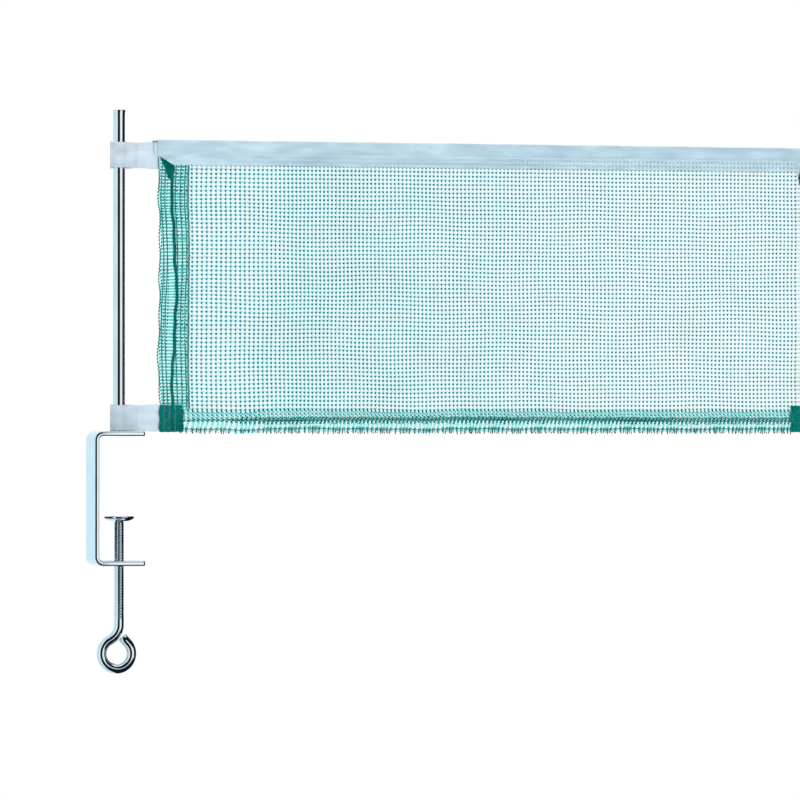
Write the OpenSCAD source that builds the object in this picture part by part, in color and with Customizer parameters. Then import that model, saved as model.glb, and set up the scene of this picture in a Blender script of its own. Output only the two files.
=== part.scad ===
// Table tennis net clamp: a flat-bar bracket that hooks over the table's edge, a post that
// stands on its upper arm, an eye screw with a swivel pad that clamps from below, and the
// net that two tape loops hold on the post.
// Frame: +X along the net, away from the post; +Z up; the origin is where the post's axis
// meets the underside of the upper arm, which is the table's surface.

/* [Bracket] */
// Thickness of the flat bar
bar_t = 2.5; // [2:0.1:4]
// Width of the flat bar
bar_w = 25; // [18:0.5:32]
// Inside radius of the bracket's two bends
bend_r = 2; // [1:0.1:4]
// Clear height between the two arms
jaw_h = 64; // [52:0.5:80]
// Distance from the post's axis to the leg's outer face
leg_reach = 15; // [13.5:0.1:20]
// Distance from the post's axis to the end of the upper arm
upper_reach = 11.5; // [10:0.5:14]
// Distance from the post's axis to the end of the lower arm
lower_reach = 11.5; // [10:0.5:18]
// Radius of the corners at the arms' ends
corner_r = 1.5; // [1:0.5:8]

/* [Post] */
// Diameter of the post
post_d = 6; // [5:0.1:8]
// How far the post stands above the net's top edge
post_over = 15; // [8:0.5:40]
// Diameter of the spigot that is riveted into the upper arm
spigot_d = 4; // [3:0.1:4.6]
// How far the post's cropped top swells beyond its radius
crown_swell = 0.2; // [0.05:0.05:0.3]
// Height of the swollen top
crown_h = 3; // [1:0.5:5]

/* [Screw] */
// Outer diameter of the screw's thread and of its wire
screw_d = 5; // [4:0.1:6]
// Thickness of the table's edge that the clamp holds at rest
table_t = 41.2; // [25:0.1:50]
// Straight length below the pad, down to the first bend
shank_l = 53; // [40:0.5:70]
// Centreline radius of the bend at the neck of the eye
neck_r = 9; // [6:0.1:12]
// Centreline radius of the eye
eye_r = 7.8; // [6:0.1:10]
// How far the eye's centre is off the screw's axis
eye_off = 1.3; // [0:0.1:3]
// Angle, from +X, at which the wire leaves the eye's circle
eye_end_angle = 42; // [30:1:50]
// Gap between the wire's straight end and the neck
eye_gap = 0.4; // [0.2:0.1:2]

/* [Pad] */
// Diameter of the pad
pad_d = 15.5; // [12:0.1:18]
// Height of the pad
pad_h = 2.5; // [2:0.1:4]
// Wall thickness of the dished pad
pad_wall = 1.2; // [0.8:0.1:1.4]
// Diameter of the screw's turned tip, which the pad swivels on
tip_d = 3.8; // [3:0.1:3.9]
// Diameter of the tip's riveted head
tip_head_d = 6.4; // [5:0.1:7]
// Thickness of the tip's riveted head
tip_head_t = 0.7; // [0.4:0.1:0.8]

/* [Net] */
// Height of the net's top edge above the table
net_h = 152.5; // [100:0.5:200]
// Distance between the clamp's post and the axis of the far loops
net_span = 395; // [300:1:600]
// Height of the net's bottom edge above the table
net_z0 = 1; // [0.5:0.1:2]
// Thickness of the net
net_t = 1; // [0.6:0.1:1.2]
// Height of the folded band along the top edge
band_h = 14; // [10:0.5:18]
// Width of the folded hem at each end
hem_w = 13; // [10:0.5:18]
// Height of the folded hem along the bottom edge
foot_h = 12; // [10:0.5:16]
// Thickness of one folded layer of band or hem
fold_t = 0.5; // [0.4:0.1:1]
// Diameter of the cord in the band
head_cord_d = 1.1; // [0.8:0.1:1.3]
// Diameter of the cords in the hems
hem_cord_d = 1.7; // [1:0.1:2]
// Height of the foot cord above the net's bottom edge
foot_cord_z = 7; // [4:0.5:9]
// Distance from the net's end to the cord in the end hem
hem_cord_x = 7.5; // [4:0.5:9]

/* [Loops] */
// Thickness of the white tape
tape_t = 0.7; // [0.4:0.1:1]
// Width of the white tape
tape_w = 13; // [8:0.1:15]
// Distance from the post's axis to where the loop's two legs meet
loop_neck = 9.5; // [8:0.1:14]
// Length of tape sewn into the net's end
tape_tuck = 10; // [6:0.5:11]

/* [Clearances] */
// Radial clearance of the screw in the lower arm, and of the pad on the tip
running_gap = 0.05; // [0.02:0.01:0.1]
// Radial clearance between the post and the tape loops
loop_gap = 0.5; // [0.35:0.05:1]
// Clearance between a resting loop and the upper arm, and between a loop and its legs
rest_gap = 0.3; // [0.2:0.05:0.5]
// How far the net's end stays outside the bracket's corners as the net turns
swing_gap = 0.5; // [0.3:0.1:2]
// Clearance of the net and its cords in the folds that hold them
fold_gap = 0.02; // [0.01:0.01:0.05]

/* [Hidden] */
$fn = 64;
over = 1;  // how far a cutting shape runs past the face that it cuts

outer_bend_r = bend_r + bar_t;
lower_top_z = -jaw_h;

post_r = post_d / 2;
post_h = net_h + post_over;
sink_r = spigot_d / 2 + bar_t / 2;  // the riveted spigot fills a 45-degree countersink

screw_r = screw_d / 2;
pad_top_z = -table_t;
pad_floor_z = pad_top_z - pad_h + pad_wall;
shoulder_z = pad_top_z - pad_h - running_gap;
neck_z = shoulder_z - shank_l;
// The neck's circle and the eye's circle touch, so the wire runs smoothly from one to the other.
eye_z = neck_z - sqrt(pow(neck_r + eye_r, 2) - pow(neck_r - eye_off, 2));
neck_angle = acos((neck_r - eye_off) / (neck_r + eye_r));
// The straight end runs until the inner corner of its cut face is eye_gap from the neck.
tail_dir = [-sin(eye_end_angle), cos(eye_end_angle)];
tail_inner = [neck_r - eye_off, eye_z - neck_z]
             + (eye_r - screw_r) * [cos(eye_end_angle), sin(eye_end_angle)];
tail_dot = tail_inner * tail_dir;
tail_reach = neck_r + screw_r + eye_gap;
eye_tail = -tail_dot - sqrt(pow(tail_dot, 2) - pow(norm(tail_inner), 2) + pow(tail_reach, 2));

loop_r = post_r + loop_gap;
loop_out_r = loop_r + tape_t;
head_cord_z = net_h - fold_t - fold_gap - head_cord_d / 2;
tape_top_z = head_cord_z - head_cord_d / 2 - 2 * fold_gap;
top_tape_z = tape_top_z - tape_w;
bottom_tape_z = bar_t + rest_gap;
flat_t = 2 * tape_t;

net_x0 = norm([leg_reach, bar_w / 2]) + swing_gap;
net_l = net_span - 2 * net_x0;
band_z = net_h - band_h;
hem_t = net_t + 2 * fold_t;
slot_t = net_t + 2 * fold_gap;
pocket_t = flat_t + 2 * fold_gap;
corner_top_z = bottom_tape_z + tape_w + fold_gap;
hem_top_z = min(band_z, top_tape_z - fold_gap);
panel_x0 = net_x0 + hem_cord_x + hem_cord_d / 2 + 2 * fold_gap;
tuck_end = net_x0 + tape_tuck;
cord_out = 2.5;  // how far the head cord stands out of each end of the band
corner_t = flat_t + 2 * fold_t;
band_t = max(hem_t, corner_t);
tape_color = [0.88, 0.92, 0.95];
green = [0.10, 0.62, 0.57];
dark_green = [0.03, 0.40, 0.37];

// The far end of the net is the mirror image of the near end.
module at_far_end() { translate([net_span, 0, 0]) mirror([1, 0, 0]) children(); }

// A flat arm from x = 0 to the reach, with its two free corners rounded.
module arm(reach) {
    linear_extrude(bar_t) {
        translate([0, -bar_w / 2]) square([reach - corner_r, bar_w]);
        translate([0, corner_r - bar_w / 2]) square([reach, bar_w - 2 * corner_r]);
        for (side = [-1, 1])
            translate([reach - corner_r, side * (bar_w / 2 - corner_r)]) circle(corner_r);
    }
}

// A quarter bend of the flat bar about the Y axis, from the top of the leg into an upper arm.
module bend() {
    rotate([90, 0, 0]) rotate([0, 0, 90])
        rotate_extrude(angle = 90) translate([bend_r, -bar_w / 2]) square([bar_t, bar_w]);
}

module bracket() {
    color([0.80, 0.85, 0.88])
    difference() {
        union() {
            arm_root = outer_bend_r - leg_reach;
            translate([arm_root, 0, 0]) arm(upper_reach - arm_root);
            translate([arm_root, 0, lower_top_z - bar_t]) arm(lower_reach - arm_root);
            translate([arm_root, 0, -bend_r]) bend();
            translate([arm_root, 0, lower_top_z + bend_r]) mirror([0, 0, 1]) bend();
            translate([-leg_reach, -bar_w / 2, lower_top_z + bend_r])
                cube([bar_t, bar_w, jaw_h - 2 * bend_r]);
        }
        translate([0, 0, -over]) cylinder(d = spigot_d, h = bar_t + 2 * over);
        cylinder(r1 = sink_r, r2 = spigot_d / 2, h = bar_t / 2);
        translate([0, 0, lower_top_z - bar_t - over])
            cylinder(r = screw_r + running_gap, h = bar_t + 2 * over);
    }
}

// Round bar with a cropped, slightly swollen top; its spigot is riveted flush under the arm.
module post() {
    edge = 0.5;
    color([0.70, 0.73, 0.76])
    rotate_extrude()
        polygon([[0, 0], [sink_r, 0], [spigot_d / 2, bar_t / 2], [spigot_d / 2, bar_t],
                 [post_r, bar_t], [post_r, post_h - crown_h],
                 [post_r + crown_swell, post_h - crown_h + edge],
                 [post_r + crown_swell, post_h - edge], [post_r - edge, post_h],
                 [0, post_h]]);
}

// Wire bent along an arc of radius r about the Y axis, from angle a to angle b.
module wire_arc(r, a, b) {
    rotate([90, 0, 0]) rotate([0, 0, a])
        rotate_extrude(angle = b - a) translate([r, 0]) circle(screw_r);
}

// The screw is one piece of wire: shank, neck bend, eye and straight end. A ball that is a hair
// wider than the wire joins each stretch to the next. The tip is turned down and riveted over
// in the pad.
module eye_screw() {
    chamfer = 0.4;
    knuckle_r = screw_r + 0.02;
    head_z = pad_floor_z + running_gap;
    color([0.80, 0.82, 0.84])
    union() {
        translate([0, 0, neck_z]) cylinder(r = screw_r, h = shank_l);
        translate([0, 0, shoulder_z - over]) 
            cylinder(d = tip_d, h = head_z - shoulder_z + over + tip_head_t / 2);
        translate([0, 0, head_z]) cylinder(d = tip_head_d, h = tip_head_t);
        translate([0, 0, neck_z]) sphere(knuckle_r);
        translate([-neck_r, 0, neck_z]) wire_arc(neck_r, -neck_angle, 0);
        translate([-eye_off, 0, eye_z]) {
            rotate([0, neck_angle - 180, 0]) translate([eye_r, 0, 0]) sphere(knuckle_r);
            wire_arc(eye_r, 180 - neck_angle, 360 + eye_end_angle);
            rotate([0, -eye_end_angle, 0]) translate([eye_r, 0, 0]) {
                sphere(knuckle_r);
                cylinder(r = screw_r, h = eye_tail - chamfer);
                translate([0, 0, eye_tail - chamfer])
                    cylinder(r1 = screw_r, r2 = screw_r - chamfer, h = chamfer);
            }
        }
    }
}

// Dished disc: its rim bears on the table, and the riveted head lies below the rim's face.
module pressure_pad() {
    pad_r = pad_d / 2;
    hole_r = tip_d / 2 + running_gap;
    rim = 1.2;
    floor_r = tip_head_d / 2 + 1;
    color([0.78, 0.81, 0.84])
    rotate_extrude()
        polygon([[hole_r, pad_top_z - pad_h], [floor_r + 0.4, pad_top_z - pad_h],
                 [pad_r, pad_top_z - 1], [pad_r, pad_top_z], [pad_r - rim, pad_top_z],
                 [floor_r, pad_floor_z], [hole_r, pad_floor_z]]);
}

// The stretch of tape that goes round a post.
module tape_ring() {
    difference() {
        cylinder(r = loop_out_r, h = tape_w);
        translate([0, 0, -over]) cylinder(r = loop_r, h = tape_w + 2 * over);
    }
}

// The two legs of tape that leave the loop, meet at its neck and run flat into the net's end.
// The legs start at radius start_r from the post's axis.
module tape_legs(start_r) {
    tangent = acos(loop_out_r / loop_neck);
    side = loop_out_r * [cos(tangent), sin(tangent)];
    linear_extrude(tape_w)
    difference() {
        polygon([side, [loop_neck, flat_t / 2], [tuck_end, flat_t / 2],
                 [tuck_end, -flat_t / 2], [loop_neck, -flat_t / 2], [side[0], -side[1]]]);
        circle(start_r);
        gore = loop_neck - 2 * tape_t;
        polygon([[0, -side[1] + tape_t], [gore, 0], [0, side[1] - tape_t]]);
    }
}

module top_loop() { color(tape_color) translate([0, 0, top_tape_z]) tape_ring(); }
module bottom_loop() { color(tape_color) translate([0, 0, bottom_tape_z]) tape_ring(); }

module top_strap() {
    color(tape_color) translate([0, 0, top_tape_z]) tape_legs(loop_out_r + rest_gap);
}

module bottom_strap() {
    color(tape_color) translate([0, 0, bottom_tape_z]) tape_legs(loop_out_r + rest_gap);
}

// At the far end one tape is both loop and legs.
module whole_tape() {
    tape_ring();
    difference() {
        tape_legs(loop_out_r - tape_t / 2);
        translate([0, 0, -over]) cylinder(r = loop_r, h = tape_w + 2 * over);
    }
}

module far_top_strap() {
    color(tape_color) at_far_end() translate([0, 0, top_tape_z]) whole_tape();
}

module far_bottom_strap() {
    color(tape_color) at_far_end() translate([0, 0, bottom_tape_z]) whole_tape();
}

// A shape drawn in (Y, Z) and carried along X from x0 over the length l.
module along_x(x0, l) {
    translate([x0, 0, 0]) rotate([90, 0, 90]) linear_extrude(l) children();
}

// Tape folded over the head cord and the net's edge, with a pocket for the strap at each end.
module top_band() {
    round_r = band_t / 2;
    color([0.78, 0.87, 0.91])
    difference() {
        along_x(net_x0, net_l) {
            translate([-round_r, band_z]) square([band_t, band_h - round_r]);
            translate([0, net_h - round_r]) circle(round_r);
        }
        along_x(net_x0 - over, net_l + 2 * over) {
            translate([-slot_t / 2, band_z - over])
                square([slot_t, head_cord_z - band_z + over]);
            translate([0, head_cord_z]) circle(head_cord_d / 2 + fold_gap);
        }
        pocket = tape_tuck + fold_gap;
        for (x = [net_x0 - over, net_span - net_x0 - pocket])
            translate([x, -pocket_t / 2, band_z - over])
                cube([pocket + over, pocket_t, tape_top_z + fold_gap - band_z + over]);
    }
}

module head_cord() {
    color([0.25, 0.45, 0.50])
    along_x(net_x0 - cord_out, net_l + 2 * cord_out)
        translate([0, head_cord_z]) circle(d = head_cord_d);
}

// The net's panel runs into every fold; its corners are cut away where the tapes are sewn in.
module net_mesh() {
    panel_z0 = net_z0 + foot_cord_z + hem_cord_d / 2 + 2 * fold_gap;
    notch_x = tuck_end + 2 * fold_gap;
    corner_x = net_x0 + hem_w;
    color(green)
    difference() {
        translate([panel_x0, -net_t / 2, panel_z0])
            cube([net_span - 2 * panel_x0, net_t, tape_top_z - panel_z0]);
        for (far = [false, true]) {
            cut = far ? net_span - notch_x : net_x0;
            low = far ? net_span - corner_x : net_x0;
            translate([cut, -net_t, hem_top_z])
                cube([notch_x - net_x0, 2 * net_t, tape_top_z - hem_top_z + over]);
            translate([low, -net_t, 0])
                cube([corner_x - net_x0, 2 * net_t, corner_top_z + fold_gap]);
        }
    }
}

// The net folded back over the cord at its end, and open towards the panel.
module left_hem() {
    cord_r = hem_cord_d / 2 + fold_gap;
    color(green)
    translate([0, 0, corner_top_z])
    linear_extrude(hem_top_z - corner_top_z)
    difference() {
        union() {
            translate([net_x0, -hem_t / 2]) square([hem_w, hem_t]);
            translate([net_x0 + hem_cord_x, 0]) circle(cord_r + fold_t);
        }
        translate([net_x0 + hem_cord_x, 0]) circle(cord_r);
        translate([net_x0 + hem_cord_x, -slot_t / 2]) square([hem_w, slot_t]);
    }
}

module left_hem_cord() {
    color(dark_green)
    translate([net_x0 + hem_cord_x, 0, corner_top_z])
        cylinder(d = hem_cord_d, h = hem_top_z - corner_top_z);
}

// The doubled corner, where both hems and the strap are sewn together.
module left_corner() {
    top = corner_top_z;
    color(dark_green)
    difference() {
        translate([net_x0, -corner_t / 2, net_z0]) cube([hem_w, corner_t, top - net_z0]);
        translate([net_x0 - over, -pocket_t / 2, bottom_tape_z - fold_gap])
            cube([tape_tuck + fold_gap + over, pocket_t, tape_w + 2 * fold_gap + over]);
        along_x(tuck_end, hem_w)
            translate([0, net_z0 + foot_cord_z]) circle(hem_cord_d / 2 + fold_gap);
    }
}

module bottom_hem() {
    cord_r = hem_cord_d / 2 + fold_gap;
    color(green)
    along_x(net_x0 + hem_w, net_l - 2 * hem_w)
    difference() {
        union() {
            translate([-hem_t / 2, net_z0]) square([hem_t, foot_h]);
            translate([0, net_z0 + foot_cord_z]) circle(cord_r + fold_t);
        }
        translate([0, net_z0 + foot_cord_z]) circle(cord_r);
        translate([-slot_t / 2, net_z0 + foot_cord_z]) square([slot_t, foot_h]);
    }
}

module foot_cord() {
    color(dark_green)
    along_x(tuck_end + 2 * fold_gap, net_span - 2 * tuck_end - 4 * fold_gap)
        translate([0, net_z0 + foot_cord_z]) circle(d = hem_cord_d);
}

module right_hem() { at_far_end() left_hem(); }
module right_hem_cord() { at_far_end() left_hem_cord(); }
module right_corner() { at_far_end() left_corner(); }

bracket();
post();
eye_screw();
pressure_pad();
top_loop();
bottom_loop();
top_strap();
bottom_strap();
top_band();
head_cord();
net_mesh();
left_hem();
left_hem_cord();
left_corner();
bottom_hem();
foot_cord();
right_hem();
right_hem_cord();
right_corner();
far_top_strap();
far_bottom_strap();
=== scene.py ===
"""Table tennis net clamp: the looks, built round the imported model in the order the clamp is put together."""
import math

import bmesh
import bpy
import numpy as np
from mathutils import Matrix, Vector


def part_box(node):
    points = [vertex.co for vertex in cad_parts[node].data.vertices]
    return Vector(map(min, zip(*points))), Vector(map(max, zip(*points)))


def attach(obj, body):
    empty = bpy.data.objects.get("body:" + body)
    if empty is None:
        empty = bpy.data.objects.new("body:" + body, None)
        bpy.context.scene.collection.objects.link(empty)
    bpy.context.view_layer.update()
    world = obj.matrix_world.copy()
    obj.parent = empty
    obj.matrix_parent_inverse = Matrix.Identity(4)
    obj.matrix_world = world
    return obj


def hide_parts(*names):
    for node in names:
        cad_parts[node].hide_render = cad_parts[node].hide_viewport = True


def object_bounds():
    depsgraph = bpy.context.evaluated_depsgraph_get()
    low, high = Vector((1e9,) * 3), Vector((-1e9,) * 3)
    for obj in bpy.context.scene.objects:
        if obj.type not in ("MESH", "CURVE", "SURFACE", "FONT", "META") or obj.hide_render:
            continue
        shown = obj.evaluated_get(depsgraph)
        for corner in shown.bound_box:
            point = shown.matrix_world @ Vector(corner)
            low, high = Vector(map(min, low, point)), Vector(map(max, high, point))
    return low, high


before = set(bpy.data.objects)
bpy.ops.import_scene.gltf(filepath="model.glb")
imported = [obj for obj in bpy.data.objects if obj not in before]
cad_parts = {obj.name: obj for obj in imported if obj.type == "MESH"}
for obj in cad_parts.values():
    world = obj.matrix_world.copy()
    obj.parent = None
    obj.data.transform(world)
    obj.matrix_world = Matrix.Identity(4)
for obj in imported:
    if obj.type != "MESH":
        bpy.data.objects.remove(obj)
cad_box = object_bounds()

# The studio. A long lens at table height looks along the net from a little outside the clamp.
# The world is white to the eye and a plain grey to the object, and metal sees a white room
# with black flags in it, as a photographer sets them to draw the edges of a bright rod.
mm = 0.001
scene = bpy.context.scene
scene.view_settings.view_transform = "Standard"

stand_off = 2.8
turn = math.radians(13.8)
aim_right, aim_up = 0.1443, 0.0185
forward = Vector((math.sin(turn), math.cos(turn), 0))
right = Vector((math.cos(turn), -math.sin(turn), 0))
aim = right * aim_right + Vector((0, 0, aim_up))
camera = bpy.data.objects.new("camera", bpy.data.cameras.new("camera"))
camera.data.sensor_width = 36
camera.data.lens = 245.4
camera.data.clip_end = 100
camera.location = right * aim_right - forward * stand_off
camera.rotation_mode = "QUATERNION"
camera.rotation_quaternion = (aim - camera.location).to_track_quat("-Z", "Y")
scene.collection.objects.link(camera)
scene.camera = camera


class Field:
    """A value that varies over a surface: a node's socket, with Python's arithmetic on it."""

    def __init__(self, finish, socket):
        self.finish, self.socket = finish, socket

    def _with(self, operation, *values):
        settings = {"operation": operation}
        return self.finish.node("ShaderNodeMath", settings, dict(enumerate(values)))

    def __add__(self, other):
        return self._with("ADD", self, other)

    def __sub__(self, other):
        return self._with("SUBTRACT", self, other)

    def __rsub__(self, other):
        return self._with("SUBTRACT", other, self)

    def __mul__(self, other):
        return self._with("MULTIPLY", self, other)

    __radd__, __rmul__ = __add__, __mul__

    def sine(self):
        return self._with("SINE", self)

    def ramp(self, low, high):
        """Rises smoothly from 0 where the field is low to 1 where it is high."""
        settings = {"interpolation_type": "SMOOTHSTEP"}
        return self.finish.node("ShaderNodeMapRange", settings, {0: self, 1: low, 2: high})


class Finish:
    """A material, or the world: its nodes are added by the one method node()."""

    def __init__(self, owner):
        owner.use_nodes = True
        self.owner, self.tree = owner, owner.node_tree

    def node(self, kind, settings=None, inputs=None, out=0):
        n = self.tree.nodes.new(kind)
        for key, value in (settings or {}).items():
            setattr(n, key, value)
        for key, value in (inputs or {}).items():
            if isinstance(value, Field):
                self.tree.links.new(value.socket, n.inputs[key])
            else:
                n.inputs[key].default_value = value
        return Field(self, n.outputs[out]) if n.outputs else None

    def mix(self, share, low, high):
        """The colour low where share is 0, and high where it is 1."""
        settings = {"data_type": "RGBA"}
        return self.node("ShaderNodeMix", settings, {0: share, 6: low, 7: high}, out=2)

    def blend(self, share, low, high):
        """The shader low where share is 0, and high where it is 1."""
        return self.node("ShaderNodeMixShader", {}, {0: share, 1: low, 2: high})

    def place(self):
        """Where a point is on the object, in metres."""
        return self.node("ShaderNodeTexCoord", out=3)

    def axis(self, letter):
        """One coordinate of the point, in metres."""
        return self.node("ShaderNodeSeparateXYZ", {}, {0: self.place()}, out="XYZ".index(letter))

    def noise(self, size, detail=3.0, stretch=(1, 1, 1)):
        """Noise from 0 to 1 whose lumps are about size across, longer along a stretched axis."""
        scale = [1 / (size * s) for s in stretch]
        at = self.node("ShaderNodeMapping", {}, {0: self.place(), 3: scale})
        return self.node("ShaderNodeTexNoise", {}, {"Vector": at, "Scale": 1.0, "Detail": detail})

    def bump(self, height, depth):
        """A normal that is rough to the given depth, in metres, where height is 0 to 1."""
        return self.node("ShaderNodeBump", {}, {"Height": height, "Distance": depth, "Strength": 1.0})

    def surface(self, **sockets):
        """The Principled shader of the material, with its sockets set or linked."""
        shader = self.tree.nodes["Principled BSDF"]
        for key, value in sockets.items():
            name = key.replace("_", " ")
            if isinstance(value, Field):
                self.tree.links.new(value.socket, shader.inputs[name])
            else:
                shader.inputs[name].default_value = value
        return self.owner


def rgb(red, green, blue):
    """A colour given as it shows on a screen, from 0 to 255, as the shader wants it."""
    share = np.array([red, green, blue]) / 255
    linear = np.where(share <= 0.04045, share / 12.92, ((share + 0.055) / 1.055) ** 2.4)
    return (*linear.tolist(), 1.0)


def seen_directly(finish):
    """1 for what the eye, a mirror or a clear thing looks at, and 0 for what only gives light."""
    path = finish.node("ShaderNodeLightPath")
    outputs = path.socket.node.outputs
    rays = [Field(finish, outputs[key]) for key in ("Is Camera Ray", "Is Transmission Ray")]
    return (rays[0] + rays[1]).ramp(0.0, 1.0), Field(finish, outputs["Is Glossy Ray"])


def flag(finish, bearing, centre, half, soft):
    """1 in directions within half of the centre's bearing, fading over soft, in radians."""
    off = finish.node("ShaderNodeMath", {"operation": "WRAP"}, {0: bearing - centre, 1: math.pi, 2: -math.pi})
    size = finish.node("ShaderNodeMath", {"operation": "ABSOLUTE"}, {0: off})
    return 1.0 - size.ramp(half - soft, half + soft)


world = bpy.data.worlds.new("studio")
scene.world = world
room = Finish(world)
room.tree.nodes.clear()
to_eye, to_metal = seen_directly(room)
sky = room.node("ShaderNodeTexCoord")
parts = room.node("ShaderNodeSeparateXYZ", {}, {0: sky}).socket.node.outputs
to_x, to_y, height = (Field(room, part) for part in parts)
bearing = room.node("ShaderNodeMath", {"operation": "ARCTAN2"}, {0: to_x, 1: to_y})
lit_panel = flag(room, bearing, math.radians(146), 0.41, 0.03)
lit_panel = lit_panel * (1.0 - height.ramp(0.14, 0.26)) * height.ramp(-0.26, -0.14)
dark_side = flag(room, bearing, math.radians(116), 1.78, 0.04) * (1.0 - height.ramp(0.74, 0.84))
black_flags = dark_side * (1.0 - lit_panel)
pale_side = flag(room, bearing, math.radians(-60), 1.15, 0.5)
room_white = room.mix(pale_side, (0.97, 0.99, 1.0, 1), (0.66, 0.87, 0.96, 1))
flags = room.mix(black_flags, room_white, (0.004, 0.012, 0.018, 1))
plain = room.mix(to_metal, (0.8, 0.81, 0.83, 1), flags)
light = room.mix(to_eye, plain, (1, 1, 1, 1))
back = room.node("ShaderNodeBackground", {}, {"Color": light, "Strength": 1.0})
room.node("ShaderNodeOutputWorld", {}, {"Surface": back})

floor_drop = 0.18
floor_z = cad_box[0].z - floor_drop
reach = 15.0
floor_mesh = bpy.data.meshes.new("floor")
corners = [(x * reach, y * reach, floor_z) for x, y in ((-1, -1), (1, -1), (1, 1), (-1, 1))]
floor_mesh.from_pydata(corners, [], [(0, 1, 2, 3)])
floor = bpy.data.objects.new("floor", floor_mesh)
scene.collection.objects.link(floor)
pale = Finish(bpy.data.materials.new("pale_floor"))
pale.tree.nodes.clear()
eye_ray, metal_ray = seen_directly(pale)
far = pale.node("ShaderNodeVectorMath", {"operation": "LENGTH"}, {0: pale.place()}, out=1).ramp(0.3, 1.6)
matt = pale.node("ShaderNodeBsdfDiffuse", {}, {"Color": (0.86, 0.87, 0.88, 1)})
white = pale.node("ShaderNodeEmission", {}, {"Color": (1, 1, 1, 1), "Strength": 1.0})
shown = pale.blend(eye_ray * (far * 0.25 + 0.75), matt, white)
open_floor = pale.node("ShaderNodeBsdfTransparent")
pale.node("ShaderNodeOutputMaterial", {}, {"Surface": pale.blend(metal_ray, shown, open_floor)})
floor_mesh.materials.append(pale.owner)


def softbox(name, at, size, watts):
    """A square soft lamp that faces the clamp and isn't seen in its metal."""
    lamp = bpy.data.lights.new(name, "AREA")
    lamp.shape, lamp.size, lamp.energy = "SQUARE", size, watts
    holder = bpy.data.objects.new(name, lamp)
    holder.location = at
    holder.rotation_mode = "QUATERNION"
    holder.rotation_quaternion = (Vector((0.15, 0, 0.03)) - holder.location).to_track_quat("-Z", "Y")
    holder.visible_glossy = False
    scene.collection.objects.link(holder)


softbox("key_lamp", Vector((-0.9, -1.7, 1.3)), 0.9, 20)
softbox("fill_lamp", Vector((1.5, -1.5, 0.6)), 1.2, 9)
softbox("back_lamp", Vector((0.4, 1.8, 0.9)), 1.2, 12)

# The bracket: one flat bar of mild steel, bent twice in a press, drilled, and then plated with
# bright zinc. Its sheared edges are a little rounded, and the corners of its ends are cut round.


def piece(name, grid, body, finish, replaces=(), loop_u=False, loop_v=True, smooth=True):
    """A surface worked out on a grid of points (u, v), closed along v, and along u if loop_u says so.
    Points that fall together, as at a pole or a seam, are merged, and faces are turned outwards."""
    rows, columns = grid.shape[:2]
    u = np.arange(rows if loop_u else rows - 1)
    v = np.arange(columns if loop_v else columns - 1)
    here, there = u[:, None] * columns, (u[:, None] + 1) % rows * columns
    low, high = v[None, :], (v[None, :] + 1) % columns
    quads = np.stack([here + low, here + high, there + high, there + low], -1).reshape(-1, 4)
    return faceted(name, grid.reshape(-1, 3), quads, body, finish, replaces, smooth)


def faceted(name, points, faces, body, finish, replaces=(), smooth=True, painted=0):
    """A piece from points and faces that all have the same number of sides. Where finish is a list,
    painted says for each face which one of them it has."""
    mesh = bpy.data.meshes.new(name)
    mesh.vertices.add(len(points))
    mesh.vertices.foreach_set("co", np.ascontiguousarray(points, np.float32).ravel())
    mesh.loops.add(faces.size)
    mesh.loops.foreach_set("vertex_index", np.ascontiguousarray(faces, np.int32).ravel())
    mesh.polygons.add(len(faces))
    mesh.polygons.foreach_set("loop_start", np.arange(len(faces), dtype=np.int32) * faces.shape[1])
    for coat in finish if isinstance(finish, list) else [finish]:
        mesh.materials.append(coat)
    mesh.polygons.foreach_set("material_index", np.broadcast_to(painted, len(faces)).astype(np.int32))
    mesh.update(calc_edges=True)
    shape = bmesh.new()
    shape.from_mesh(mesh)
    bmesh.ops.remove_doubles(shape, verts=shape.verts, dist=1e-7)
    if shape.calc_volume(signed=True) < 0:
        bmesh.ops.reverse_faces(shape, faces=shape.faces)
    shape.to_mesh(mesh)
    shape.free()
    mesh.polygons.foreach_set("use_smooth", np.full(len(mesh.polygons), smooth))
    made = bpy.data.objects.new(name, mesh)
    scene.collection.objects.link(made)
    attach(made, body)
    if replaces:
        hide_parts(*replaces)
    return made


def ring(width, height, edge, steps=4, flats=1):
    """The outline of a flat strip: width by height, with its four edges rounded. It runs once
    round as an array of (across, up), with each long side cut into flats."""
    arc = np.linspace(0, math.pi / 2, steps + 1)
    outline = []
    for quarter, (sx, sy) in enumerate([(1, 1), (-1, 1), (-1, -1), (1, -1)]):
        angle = arc + quarter * math.pi / 2
        centre = np.array([sx * (width / 2 - edge), sy * (height / 2 - edge)])
        corner = centre + edge * np.stack([np.cos(angle), np.sin(angle)], -1)
        outline.append(corner)
        if quarter % 2 == 1:
            start = corner[-1]
            end = np.array([start[0], -start[1]])
            outline.append(start + (end - start) * np.linspace(0, 1, flats + 1)[1:-1, None])
    return np.concatenate(outline)


def carried(profile, path, across, up):
    """The profile's outline, or one outline for each point of the path, carried along the path."""
    profile = np.broadcast_to(profile, (len(path), *profile.shape[-2:]))
    return path[:, None] + profile[..., :1] * across[:, None] + profile[..., 1:] * up[:, None]


def capped(grid, path):
    """The carried grid, closed at both ends by rows that fall together on the path's end points."""
    first, last = (np.broadcast_to(path[i], grid[0].shape) for i in (0, -1))
    return np.concatenate([first[None], grid, last[None]])


bar_lo, bar_hi = (np.array(c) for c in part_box("bracket"))
bar_t = 2.5 * mm
inside_bend = 2.0 * mm
end_corner = 1.5 * mm
bar_half = (bar_hi[1] - bar_lo[1]) / 2
upper_end = 11.5 * mm
lower_end = 11.5 * mm


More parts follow.
